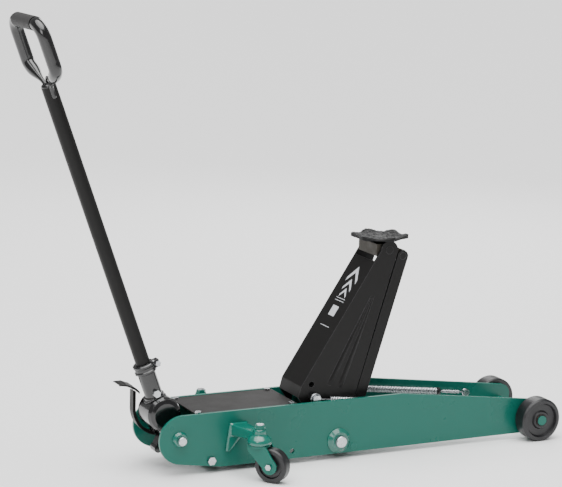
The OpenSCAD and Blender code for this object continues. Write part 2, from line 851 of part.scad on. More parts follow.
module pedal_arm() {
    top = pedal_y + pedal_w;
    out = on_pedal(pedal_out, pedal_high);
    in = on_pedal(pedal_in, pedal_high);
    lean_cut = pad_slope * pedal_t / 2;
    crown = on_pedal(pedal_r, pedal_high).y + pedal_rise - 0.3;
    color(black) place() difference() {
        union() {
            rod_y(17, pedal_y, top, -yoke_back, yoke_z);
            slab_y(pedal_y + 0.5, top - 0.5) polygon(concat(
                arc_points(pedal_c, pedal_out, pedal_low, pedal_high, 36),
                [[out.x, crown + lean_cut], [in.x, crown - lean_cut]],
                arc_points(pedal_c, pedal_in, pedal_high, pedal_low, 36)
            ));
        }
        rod_y(yoke_pin_r + run, pedal_y - eps, top + eps, -yoke_back, yoke_z);
    }
}

module pedal_pad() {
    root = on_pedal(pedal_r, pedal_high) + [0, pedal_rise];
    mid = pedal_y + pedal_w / 2;
    pad_t = 5;
    color(black) place() translate([root.x, mid, root.y]) rotate([0, -pad_dir, 0]) {
        translate([-10, -pad_w / 2, -pad_t]) cube([pad_len + 10, pad_w, pad_t]);
        for (i = [1 : 4])
            rod_y(2, -pad_w / 2 + 4, pad_w / 2 - 4, i * pad_len / 5, -pad_t - 0.2);
    }
}

// --- Lift arm ---

function crease_v(u) = arm_foot_depth - (u - crease_u0) * tan(crease_slope);

// Side wall of the arm, between two values of Y
module arm_wall(y0, y1) {
    rod_y(hub_r, y0, y1);
    slab_y(y0, y1) polygon([
        [-4, 25], [0, -8], [neck_u, -8], [neck_u, -arm_front], [arm_len, -arm_front + 2],
        [crease_u1 + 4, crease_v(crease_u1 + 4)], [crease_u0, arm_foot_depth],
        [foot_u, arm_foot_depth - 1]
    ]);
    rod_y(arm_tip_r, y0, y1, arm_len, 0);
}

module lift_arm() {
    web_in = arm_side - arm_t + 0.01;
    color(black) place() arm_frame() difference() {
        union() {
            both_sides() difference() {
                arm_wall(arm_side - arm_t, arm_side);
                rod_y(crosshead_pin_r + still, arm_side - arm_t - eps, arm_side + eps, pin_u, pin_v);
                rod_y(6.5, arm_side - arm_t - eps, arm_side + eps, 103, 91);
            }
            slab_y(-web_in, web_in) polygon([
                [foot_u, arm_foot_depth - 1], [foot_u, arm_foot_depth - 1 - arm_t],
                [crease_u0 - 1, arm_foot_depth - arm_t], [window_u, crease_v(window_u) - arm_t],
                [window_u, crease_v(window_u)], [crease_u0, arm_foot_depth]
            ]);
        }
        rod_y(tube_hub_r + still, -arm_side - eps, arm_side + eps);
        rod_y(tip_pin_r + still, -arm_side - eps, arm_side + eps, arm_len, 0);
    }
}

module arm_hub_tube() {
    half = inner - gap;
    color(steel) place() difference() {
        rod_y(tube_hub_r, -half, half, -pivot_back, pivot_z);
        rod_y(pivot_r + run, -half - eps, half + eps, -pivot_back, pivot_z);
    }
}

module crosshead_pin() {
    color(zinc) place() arm_frame() {
        rod_y(crosshead_pin_r, -arm_side - 1, arm_side + 1, pin_u, pin_v);
        both_sides() rod_y(stub_r, arm_side + 0.05, stub_out, pin_u, pin_v);
    }
}

module saddle_pivot_pin() {
    color(steel) place() arm_frame() rod_y(tip_pin_r, -arm_side - 0.6, arm_side + 0.6, arm_len, 0);
}

// --- Levelling link and saddle ---

module levelling_bars() {
    foot = [link_dx - pivot_back, pivot_z - link_dz];
    color(black) place() translate([foot.x, 0, foot.y]) rotate([0, -arm_rise, 0])
        both_sides() difference() {
            slab_y(bar_in, bar_out) {
                translate([0, -link_w / 2]) square([arm_len, link_w]);
                circle(link_w / 2);
                translate([arm_len, 0]) circle(link_w / 2);
            }
            rod_y(link_pin_r + run, bar_in - eps, bar_out + eps);
            rod_y(link_pin_r + run, bar_in - eps, bar_out + eps, arm_len, 0);
        }
}

module saddle_carrier() {
    hub = 18;
    lug_r = 14;
    core = bar_in - gap;
    skirt_x = 29;
    skirt_t = 9;
    color(steel) place() translate([tip_x - pivot_back, 0, pivot_z + tip_z]) difference() {
        union() {
            translate([-skirt_x, -carrier_half, 0]) cube([skirt_x + hub, 2 * carrier_half, carrier_top]);
            translate([-skirt_x, -carrier_half, -13]) cube([skirt_t, 2 * carrier_half, 14]);
            rod_y(hub, -core, core);
            rod_y(lug_r, -core, core, link_dx, -link_dz);
            slab_y(-core, core) polygon([
                [0, -hub + 0.5], [link_dx - 4, -link_dz - lug_r + 1.2],
                [link_dx + 1, -link_dz + lug_r - 0.5], [hub - 4, carrier_top - 4]
            ]);
        }
        rod_y(tip_pin_r + run, -carrier_half - eps, carrier_half + eps);
        rod_y(link_pin_r + still, -carrier_half, carrier_half, link_dx, -link_dz);
        translate([0, 0, tip_pin_r + 1.5]) cylinder(r = saddle_stem_r + run, h = carrier_top);
        translate([-50, -carrier_half - eps, carrier_top]) cube([100, 2 * carrier_half + 2 * eps, 20]);
    }
}

module link_top_pin() {
    color(zinc) place()
        rod_y(link_pin_r, -bar_out, bar_out, tip_x - pivot_back + link_dx, pivot_z + tip_z - link_dz);
}

module saddle() {
    base = carrier_top + gap;
    lug_r = 13;
    ring = saddle_r - lug_r;
    color(black) place() translate([tip_x - pivot_back, 0, pivot_z + tip_z]) {
        translate([0, 0, tip_pin_r + 2]) cylinder(r = saddle_stem_r, h = base);
        rotate_extrude($fn = 96) polygon([
            [0, base], [18, base], [22, base + 2], [33, base + 7], [45, base + 9.5],
            [ring + 4, base + 11], [ring + 4, saddle_top + 6], [ring - 2, saddle_top + 3],
            [34, saddle_top], [0, saddle_top]
        ]);
        for (i = [0 : saddle_lugs - 1]) rotate((i + 0.5) * 360 / saddle_lugs)
            translate([ring, 0, base + 10.6]) cylinder(r = lug_r, h = 9);
    }
}

// --- Return springs ---

module return_springs() {
    rear = [crosshead_x, crosshead_z];
    front = [-stud_back, stud_z];
    span = norm(front - rear);
    rise = atan2(front.y - rear.y, front.x - rear.x);
    wire = 1.6;
    ring_rear = stub_r + wire + 0.4;
    ring_front = stud_r + wire + 0.4;
    mid = (arm_side + inner) / 2;
    color(zinc) place() both_sides() translate([rear.x, mid, rear.y]) rotate([0, -rise, 0]) {
        rotate([90, 0, 0]) rotate_extrude() translate([ring_rear, 0]) circle(wire, $fn = 24);
        translate([span, 0, 0]) rotate([90, 0, 0]) rotate_extrude()
            translate([ring_front, 0]) circle(wire, $fn = 24);
        rod_x(wire, ring_rear, 42);
        rod_x(spring_r, 40, span - 70);
        rod_x(wire, span - 72, span - ring_front);
    }
}

side_plate_right();
side_plate_left();
main_pivot_bosses();
main_pivot_shaft();
handle_pivot_bosses();
handle_pivot_shaft();
handle_pivot_spacers();
cover_plate();
cover_rails();
cover_screws();
cross_bolt();
cross_tube();
front_axle();
axle_rings();
link_anchor_pin();
spring_studs();
hydraulic_block();
ram_cylinder();
filler_plug();
caster_bracket_right();
caster_bracket_left();
front_wheel_right();
front_wheel_left();
wheel_bush_right();
wheel_bush_left();
caster_fork_right();
caster_fork_left();
caster_kingpin_right();
caster_kingpin_left();
caster_nut_right();
caster_nut_left();
caster_bolt_right();
caster_bolt_left();
caster_wheel_right();
caster_wheel_left();
handle_yoke();
socket_collar();
collar_bolt();
socket_bolt();
pump_roller();
roller_pin();
handle_tube();
grip_loop();
grip_sleeve();
release_rod();
release_spindle();
pedal_arm();
pedal_pad();
pump_plunger();
lift_arm();
arm_hub_tube();
crosshead_pin();
saddle_pivot_pin();
levelling_bars();
saddle_carrier();
link_top_pin();
saddle();
piston_rod();
return_springs();
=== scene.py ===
"""Looks of a long trolley jack: enamelled chassis, black lift arm and handle, zinc-plated fasteners.

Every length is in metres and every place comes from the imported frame, so a piece sits where the CAD says.
"""
import json
import logging
import math
import random
from dataclasses import dataclass, field
from enum import Enum
from typing import Callable, Sequence

import bmesh
import bpy
from mathutils import Matrix, Vector, noise


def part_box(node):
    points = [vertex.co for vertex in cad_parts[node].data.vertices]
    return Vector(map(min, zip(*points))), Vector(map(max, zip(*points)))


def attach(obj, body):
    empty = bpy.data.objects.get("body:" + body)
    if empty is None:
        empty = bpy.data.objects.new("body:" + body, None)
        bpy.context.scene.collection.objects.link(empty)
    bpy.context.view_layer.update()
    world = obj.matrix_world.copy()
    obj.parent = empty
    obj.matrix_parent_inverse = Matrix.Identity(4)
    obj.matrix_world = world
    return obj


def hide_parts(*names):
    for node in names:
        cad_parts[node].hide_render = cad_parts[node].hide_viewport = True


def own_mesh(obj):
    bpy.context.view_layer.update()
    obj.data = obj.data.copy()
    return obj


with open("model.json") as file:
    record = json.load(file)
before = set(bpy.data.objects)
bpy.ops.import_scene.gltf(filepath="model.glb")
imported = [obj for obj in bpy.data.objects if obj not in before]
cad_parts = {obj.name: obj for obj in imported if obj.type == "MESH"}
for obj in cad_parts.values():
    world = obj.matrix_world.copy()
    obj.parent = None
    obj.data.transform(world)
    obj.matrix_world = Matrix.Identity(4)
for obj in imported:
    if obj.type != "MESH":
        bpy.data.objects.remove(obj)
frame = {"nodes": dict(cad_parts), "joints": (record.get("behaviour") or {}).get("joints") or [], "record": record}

LOG = logging.getLogger("trolley_jack")
MM = 0.001
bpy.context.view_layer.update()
NODES: dict[str, bpy.types.Object] = frame["nodes"]
JOINTS = {joint["name"]: joint for joint in frame["joints"]}


# ---------------------------------------------------------------- materials

class Relief(Enum):
    """How the small relief of a surface is laid out."""

    SMOOTH = "smooth"
    ORANGE_PEEL = "orange peel"
    PEBBLED = "pebbled"
    TURNED = "turned"


def linear(hex_colour: str) -> tuple[float, float, float, float]:
    """Turns an sRGB hex colour into linear RGBA.

    Args:
        hex_colour: six hex digits, such as "1f8a70".

    Returns:
        The colour as Blender's sockets want it.
    """
    def channel(start: int) -> float:
        """Linear value of one pair of digits."""
        value = int(hex_colour[start:start + 2], 16) / 255
        return value / 12.92 if value <= 0.04045 else ((value + 0.055) / 1.055) ** 2.4
    return channel(0), channel(2), channel(4), 1.0


def add_node(tree: bpy.types.NodeTree, kind: str, settings: dict | None = None,
             values: dict | None = None, links: dict | None = None) -> bpy.types.Node:
    """Adds one shader node with its settings, socket values and incoming links.

    Args:
        tree: the node tree of the material.
        kind: Blender's node type, such as "ShaderNodeTexNoise".
        settings: attributes of the node.
        values: input socket name or index, and its value.
        links: input socket name or index, and the output socket it takes.

    Returns:
        The new node.
    """
    node = tree.nodes.new(kind)
    for name, value in (settings or {}).items():
        setattr(node, name, value)
    for name, value in (values or {}).items():
        node.inputs[name].default_value = value
    for name, source in (links or {}).items():
        tree.links.new(source, node.inputs[name])
    return node


@dataclass(frozen=True)
class Finish:
    """One real surface: what it is made of, how it was made, how it has aged, and on the green enamels a painted
    highlight along its edges.
    """

    name: str
    slot: str
    colour: str
    patch_colour: str
    patch_mm: float = 60.0
    metallic: float = 0.0
    roughness: float = 0.4
    roughness_spread: float = 0.08
    relief: Relief = Relief.SMOOTH
    relief_mm: float = 1.0
    relief_depth_mm: float = 0.05
    edge_mm: float = 0.6
    coat: float = 0.0
    coat_roughness: float = 0.1
    specular: float = 0.5
    # Edge colour and its share: rubbed bare metal on the dark finishes, a painted edge highlight on the green
    # enamels
    edge_rub_and_sheen_colour: str = ""
    edge_rub_and_sheen: float = 0.0
    dust: float = 0.0

    def _edges(self, tree: bpy.types.NodeTree) -> bpy.types.NodeSocket:
        """Mask that is 1 on outer edges, broken up by noise: rubbed paint on the dark finishes, a painted
        highlight on the green enamels.
        """
        rounded = add_node(tree, "ShaderNodeBevel", {"samples": 6}, {"Radius": self.edge_mm * 2.2 * MM})
        geometry = add_node(tree, "ShaderNodeNewGeometry")
        match = add_node(tree, "ShaderNodeVectorMath", {"operation": "DOT_PRODUCT"},
                         links={0: rounded.outputs[0], 1: geometry.outputs["Normal"]})
        place = add_node(tree, "ShaderNodeTexCoord")
        chips = add_node(tree, "ShaderNodeTexNoise", values={"Scale": 1 / (7 * MM), "Detail": 4.0},
                         links={"Vector": place.outputs["Object"]})
        limit = add_node(tree, "ShaderNodeMath", {"operation": "MULTIPLY_ADD"},
                         {1: 0.15, 2: 0.80}, {0: chips.outputs[0]})
        below = add_node(tree, "ShaderNodeMath", {"operation": "LESS_THAN"},
                         links={0: match.outputs["Value"], 1: limit.outputs[0]})
        share = add_node(tree, "ShaderNodeMath", {"operation": "MULTIPLY"}, {1: self.edge_rub_and_sheen},
                         {0: below.outputs[0]})
        return share.outputs[0]

    def _height(self, tree: bpy.types.NodeTree, place: bpy.types.NodeSocket) -> bpy.types.NodeSocket:
        """Height of the small relief, from 0 to 1."""
        scale = 1 / (self.relief_mm * MM)
        if self.relief is Relief.PEBBLED:
            cells = add_node(tree, "ShaderNodeTexVoronoi", {"feature": "SMOOTH_F1"},
                             {"Scale": scale, "Smoothness": 0.6}, {"Vector": place})
            return cells.outputs["Distance"]
        if self.relief is Relief.TURNED:
            wave = add_node(tree, "ShaderNodeTexNoise", values={"Scale": scale, "Detail": 1.0})
            stretch = add_node(tree, "ShaderNodeMapping", values={"Scale": (0.2, 3.0, 0.2)},
                               links={"Vector": place})
            tree.links.new(stretch.outputs[0], wave.inputs["Vector"])
            return wave.outputs[0]
        grain = add_node(tree, "ShaderNodeTexNoise", values={"Scale": scale, "Detail": 2.0},
                         links={"Vector": place})
        return grain.outputs[0]

    def material(self) -> bpy.types.Material:
        """Builds the material, or returns it if it is there already."""
        done = bpy.data.materials.get(self.name)
        if done:
            return done
        made = bpy.data.materials.new(self.name)
        made.use_nodes = True
        tree = made.node_tree
        tree.nodes.clear()
        place = add_node(tree, "ShaderNodeTexCoord").outputs["Object"]
        patches = add_node(tree, "ShaderNodeTexNoise",
                           values={"Scale": 1 / (self.patch_mm * MM), "Detail": 5.0}, links={"Vector": place})
        blend = add_node(tree, "ShaderNodeMix", {"data_type": "RGBA"},
                         {6: linear(self.colour), 7: linear(self.patch_colour)}, {0: patches.outputs[0]})
        colour = blend.outputs[2]
        if self.dust:
            colour = self._dusted(tree, colour, place)
        shader = add_node(tree, "ShaderNodeBsdfPrincipled", values={
            "Metallic": self.metallic, "Specular IOR Level": self.specular,
            "Coat Weight": self.coat, "Coat Roughness": self.coat_roughness})
        low = self.roughness - self.roughness_spread
        high = self.roughness + self.roughness_spread
        rough = add_node(tree, "ShaderNodeMapRange", values={1: 0.3, 2: 0.7, 3: low, 4: high},
                         links={0: patches.outputs[0]}).outputs[0]
        # Edges take the edge colour: real rubbing on the dark finishes, a painted highlight on the green enamels
        if self.edge_rub_and_sheen:
            edges = self._edges(tree)
            colour = add_node(tree, "ShaderNodeMix", {"data_type": "RGBA"}, {7: linear(self.edge_rub_and_sheen_colour)},
                              {0: edges, 6: colour}).outputs[2]
        tree.links.new(colour, shader.inputs["Base Color"])
        tree.links.new(rough, shader.inputs["Roughness"])
        soft = add_node(tree, "ShaderNodeBevel", {"samples": 6}, {"Radius": self.edge_mm * MM})
        bump = add_node(tree, "ShaderNodeBump",
                        values={"Distance": self.relief_depth_mm * MM, "Strength": 1.0},
                        links={"Height": self._height(tree, place), "Normal": soft.outputs[0]})
        tree.links.new(bump.outputs[0], shader.inputs["Normal"])
        out = add_node(tree, "ShaderNodeOutputMaterial", links={"Surface": shader.outputs[0]})
        out.is_active_output = True
        return made

    def _dusted(self, tree: bpy.types.NodeTree, colour: bpy.types.NodeSocket,
                place: bpy.types.NodeSocket) -> bpy.types.NodeSocket:
        """Lays a thin grey dust on faces that look up."""
        geometry = add_node(tree, "ShaderNodeNewGeometry")
        parts = add_node(tree, "ShaderNodeSeparateXYZ", links={0: geometry.outputs["Normal"]})
        fleck = add_node(tree, "ShaderNodeTexNoise", values={"Scale": 1 / (3 * MM), "Detail": 6.0},
                         links={"Vector": place})
        up = add_node(tree, "ShaderNodeMapRange", values={1: 0.4, 2: 1.0, 3: 0.0, 4: self.dust},
                      links={0: parts.outputs["Z"]})
        share = add_node(tree, "ShaderNodeMath", {"operation": "MULTIPLY"},
                         links={0: up.outputs[0], 1: fleck.outputs[0]})
        return add_node(tree, "ShaderNodeMix", {"data_type": "RGBA"}, {7: linear("8c8b88")},
                        {0: share.outputs[0], 6: colour}).outputs[2]


# Gloss alkyd enamel, sprayed: deep blue-green, a thin clear coat and a faint orange peel, with a painted highlight
# of lighter green along its edges
GREEN_ENAMEL = Finish("gloss_green_enamel", "green_enamel", "045a4d", "055e51", 90, roughness=0.3,
                      roughness_spread=0.05, relief=Relief.ORANGE_PEEL, relief_mm=5, relief_depth_mm=0.02,
                      edge_mm=1.2, coat=0.1, coat_roughness=0.14, specular=0.3,
                      edge_rub_and_sheen_colour="3f9a86", edge_rub_and_sheen=0.25)
# The same enamel on rough castings and welds, where it pools thicker and catches small highlights, with a painted
# pale-green highlight along its edges
CAST_ENAMEL = Finish("green_enamel_on_casting", "green_enamel", "076456", "085a4d", 25, roughness=0.2,
                     roughness_spread=0.06, relief=Relief.ORANGE_PEEL, relief_mm=4, relief_depth_mm=0.25,
                     edge_mm=1.5, coat=0.6, coat_roughness=0.08, edge_rub_and_sheen_colour="7cc4b0", edge_rub_and_sheen=0.3)
# Polyester powder coat, baked: satin near-black with a fine even peel and slightly rubbed edges
BLACK_POWDER = Finish("satin_black_powder_coat", "black_powder", "0c0b0b", "100f0e", 70, roughness=0.42,
                      roughness_spread=0.05, relief=Relief.ORANGE_PEEL, relief_mm=1.6, relief_depth_mm=0.02,
                      edge_mm=1.1, coat=0.05, coat_roughness=0.25, specular=0.2,
                      edge_rub_and_sheen_colour="77777a", edge_rub_and_sheen=0.25)
# Gloss black enamel: wet highlights on an uneven skin
GLOSS_BLACK = Finish("gloss_black_enamel", "black_powder", "080809", "0b0b0d", 20, roughness=0.2,
                     roughness_spread=0.06, relief=Relief.ORANGE_PEEL, relief_mm=5, relief_depth_mm=0.05,
                     edge_mm=1.6, coat=0.5, coat_roughness=0.08)
# Matt dark grey powder coat: dry and even, with a trace of dust and slightly rubbed edges
COVER_POWDER = Finish("matt_grey_powder_coat", "dark_cover", "1b1a1a", "1f1e1e", 40, roughness=0.55,
                      roughness_spread=0.04, relief=Relief.ORANGE_PEEL, relief_mm=1.2, relief_depth_mm=0.03,
                      edge_mm=0.8, specular=0.15, edge_rub_and_sheen_colour="6f6f6f", edge_rub_and_sheen=0.25, dust=0.06)
# Bright zinc plate on turned and pressed fasteners: pale blue-white metal with soft reflections
ZINC = Finish("bright_zinc_plate", "zinc_plate", "c9ccd0", "b4b6b8", 8, metallic=1.0, roughness=0.28,
              roughness_spread=0.1, relief=Relief.TURNED, relief_mm=1.0, relief_depth_mm=0.02, edge_mm=0.5)
# Hard chrome, ground: a clear mirror with hardly any grain
CHROME = Finish("hard_chrome", "chrome_rod", "d4d6d9", "c6c8cc", 30, metallic=1.0, roughness=0.1,
                roughness_spread=0.03, relief=Relief.TURNED, relief_mm=1.0, relief_depth_mm=0.005,
                edge_mm=0.4)
# Sand-cast iron, dipped black: coarse pebbles, edges rubbed a little greyer
CAST_BLACK = Finish("black_dipped_cast_iron", "cast_black", "090909", "101011", 6, roughness=0.55,
                    roughness_spread=0.1, relief=Relief.PEBBLED, relief_mm=3.2, relief_depth_mm=0.7,
                    edge_mm=1.0, specular=0.25, edge_rub_and_sheen_colour="3a3b3d", edge_rub_and_sheen=0.1)
# Oiled machined steel: dark brownish grey with turned marks
MACHINED = Finish("oiled_machined_steel", "machined_steel", "35322e", "403c36", 18, metallic=0.8,
                  roughness=0.5, roughness_spread=0.1, relief=Relief.TURNED, relief_mm=1.4,
                  relief_depth_mm=0.05, edge_mm=0.6)
# Moulded black nylon: satin, with the faint ripple that the mould leaves
BLACK_NYLON = Finish("moulded_black_nylon", "black_nylon", "0e0e10", "141417", 30, roughness=0.42,
                     roughness_spread=0.06, relief=Relief.ORANGE_PEEL, relief_mm=2.5, relief_depth_mm=0.03,
                     edge_mm=1.4, coat=0.1, coat_roughness=0.2)
# Sintered bronze of the bushes: dull gold-brown, porous
BRONZE = Finish("sintered_bronze", "bronze_bush", "8a6c3c", "7a5d33", 6, metallic=1.0, roughness=0.45,
                roughness_spread=0.08, relief=Relief.PEBBLED, relief_mm=0.8, relief_depth_mm=0.05,
                edge_mm=0.4)
# Matt rubber sleeve on the grip: no shine, a fine moulded grain
GRIP_RUBBER = Finish("matt_grip_rubber", "grip_rubber", "262525", "2c2b2b", 15, roughness=0.68,
                     roughness_spread=0.05, relief=Relief.PEBBLED, relief_mm=1.2, relief_depth_mm=0.08,
                     edge_mm=0.8)
# Screen-printed light grey on the label: flat, slightly chalky
LABEL_PRINT = Finish("light_grey_print", "black_powder", "c3c5c9", "b7babf", 12, roughness=0.5,
                     roughness_spread=0.05, relief=Relief.ORANGE_PEEL, relief_mm=1.0, relief_depth_mm=0.01,
                     edge_mm=0.1)

BY_SLOT = {
    "green_enamel": GREEN_ENAMEL, "black_powder": BLACK_POWDER, "dark_cover": COVER_POWDER,
    "zinc_plate": ZINC, "chrome_rod": CHROME, "cast_black": CAST_BLACK, "machined_steel": MACHINED,
    "black_nylon": BLACK_NYLON, "bronze_bush": BRONZE, "grip_rubber": GRIP_RUBBER,
}


# ---------------------------------------------------------------- mesh helpers

def to_object(name: str, bm: bmesh.types.BMesh, finish: Finish, body: str,
              replaced: Sequence[str] = (), smooth: bool = True) -> bpy.types.Object:
    """Turns a bmesh into a piece that rides on a body.

    Args:
        name: the piece's name.
        bm: the mesh, which is freed.
        finish: the surface it gets.
        body: the CAD body it moves with.
        replaced: the CAD nodes it stands for.
        smooth: whether its faces are shaded smooth, with edges over 40 degrees kept sharp.

    Returns:
        The new object.
    """
    bmesh.ops.recalc_face_normals(bm, faces=bm.faces)
    sharp = math.radians(40)
    for edge in bm.edges:
        edge.smooth = not (len(edge.link_faces) == 2 and edge.calc_face_angle(0) > sharp)
    for face in bm.faces:
        face.smooth = smooth
    mesh = bpy.data.meshes.new(name)
    bm.to_mesh(mesh)
    bm.free()
    mesh.materials.append(finish.material())
    made = bpy.data.objects.new(name, mesh)
    bpy.context.scene.collection.objects.link(made)
    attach(made, body)
    if replaced:
        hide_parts(*replaced)
    return made


def ring_of(bm: bmesh.types.BMesh, centre: Vector, side: Vector, up: Vector, radius: float,
            count: int) -> list[bmesh.types.BMVert]:
    """Adds a ring of vertices round a centre.

    Args:
        bm: the mesh it goes into.
        centre: the ring's centre.
        side: first unit vector of its plane.
        up: second unit vector of its plane.
        radius: the ring's radius.
        count: how many vertices it has.

    Returns:
        The vertices in order.
    """
    turn = 2 * math.pi / count
    return [bm.verts.new(centre + radius * (math.cos(i * turn) * side + math.sin(i * turn) * up))
            for i in range(count)]


def skin(bm: bmesh.types.BMesh, rings: list[list[bmesh.types.BMVert]], capped: bool = True) -> None:
    """Joins rings with quads, and closes both ends if asked."""
    for first, second in zip(rings, rings[1:]):
        count = len(first)
        for i in range(count):
            bm.faces.new((first[i], first[(i + 1) % count], second[(i + 1) % count], second[i]))
    if capped:
        bm.faces.new(list(reversed(rings[0])))
        bm.faces.new(rings[-1])


def sweep(bm: bmesh.types.BMesh, path: Sequence[Vector], radius: Callable[[float], float],
          sides: int = 20) -> None:
    """Sweeps a round bar along a path.

    Args:
        bm: the mesh it goes into.
        path: the points of its centre line.
        radius: radius as a function of the share of the path, from 0 to 1.
        sides: how many sides the bar has.
    """
    rings = []
    up = None
    for i, point in enumerate(path):
        ahead = path[min(i + 1, len(path) - 1)] - path[max(i - 1, 0)]
        ahead.normalize()
        if up is None:
            up = ahead.orthogonal().normalized()
        up = (up - ahead * up.dot(ahead)).normalized()
        rings.append(ring_of(bm, point, ahead.cross(up), up, radius(i / (len(path) - 1)), sides))
    skin(bm, rings)


def close_sheet(bm: bmesh.types.BMesh, outer: list, inner: list) -> None:
    """Joins two grids of vertices into one closed sheet."""
    rows, columns = len(outer) - 1, len(outer[0]) - 1
    for i in range(rows):
        for j in range(columns):
            bm.faces.new((outer[i][j], outer[i][j + 1], outer[i + 1][j + 1], outer[i + 1][j]))
            bm.faces.new((inner[i][j], inner[i + 1][j], inner[i + 1][j + 1], inner[i][j + 1]))
    for i in range(rows):
        bm.faces.new((outer[i][0], outer[i + 1][0], inner[i + 1][0], inner[i][0]))
        bm.faces.new((outer[i][columns], inner[i][columns], inner[i + 1][columns], outer[i + 1][columns]))
    for j in range(columns):
        bm.faces.new((outer[0][j], inner[0][j], inner[0][j + 1], outer[0][j + 1]))
        bm.faces.new((outer[rows][j], outer[rows][j + 1], inner[rows][j + 1], inner[rows][j]))


def lathe(bm: bmesh.types.BMesh, centre: Vector, axis: Vector, profile: Sequence[tuple[float, float]],
          sides: int = 48) -> None:
    """Turns a profile of (radius, height along the axis) pairs into a closed solid."""
    side = axis.orthogonal().normalized()
    up = axis.cross(side)
    skin(bm, [ring_of(bm, centre + axis * height, side, up, radius, sides) for radius, height in profile])


def middle(node: str) -> Vector:
    """Centre of a CAD node's box."""
    low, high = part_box(node)
    return (low + high) / 2


def cast_copy(name: str, node: str, finish: Finish, body: str, voxel: float, rounds: int) -> bpy.types.Object:
    """Makes a copy of a CAD node with the soft fillets of a casting.

    Args:
        name: the new piece's name.
        node: the CAD node it is made from and stands for.
        finish: its surface.
        body: the body it rides on.
        voxel: size of the remesh in metres.
        rounds: how many rounds of smoothing it gets.

    Returns:
        The new piece.
    """
    bm = bmesh.new()
    bm.from_mesh(NODES[node].data)
    bmesh.ops.remove_doubles(bm, verts=bm.verts, dist=1e-6)
    made = to_object(name, bm, finish, body, [node])
    remesh = made.modifiers.new("remesh", "REMESH")
    remesh.mode = "VOXEL"
    remesh.voxel_size = voxel
    remesh.use_smooth_shade = True
    smooth = made.modifiers.new("fillets", "SMOOTH")
    smooth.factor = 0.5
    smooth.iterations = rounds
    apply_modifiers(made)
    return made


def apply_modifiers(made: bpy.types.Object) -> None:
    """Replaces an object's mesh with the result of its modifiers."""
    graph = bpy.context.evaluated_depsgraph_get()
    result = bpy.data.meshes.new_from_object(made.evaluated_get(graph))
    old = made.data
    made.modifiers.clear()
    made.data = result
    bpy.data.meshes.remove(old)


# ---------------------------------------------------------------- CAD nodes

@dataclass
class PlainNodes:
    """CAD nodes whose shape is right: they keep it, and get a real finish and softened edges."""

    special: dict[str, Finish] = field(default_factory=lambda: {
        "main_pivot_bosses": CAST_ENAMEL, "handle_pivot_bosses": CAST_ENAMEL,
        "handle_yoke": GLOSS_BLACK, "socket_collar": GLOSS_BLACK,
    })

    def dress(self) -> None:
        """Gives each CAD node the finish of its slot, or the one named for it."""
        slots = {part["node"]: part["material_slot"] for part in frame["record"]["subparts"]}
        for name, node in NODES.items():
            finish = self.special.get(name, BY_SLOT[slots[name]])
            node.data.materials.clear()
            node.data.materials.append(finish.material())
        LOG.info("dressed %d CAD nodes", len(NODES))


# ---------------------------------------------------------------- return springs

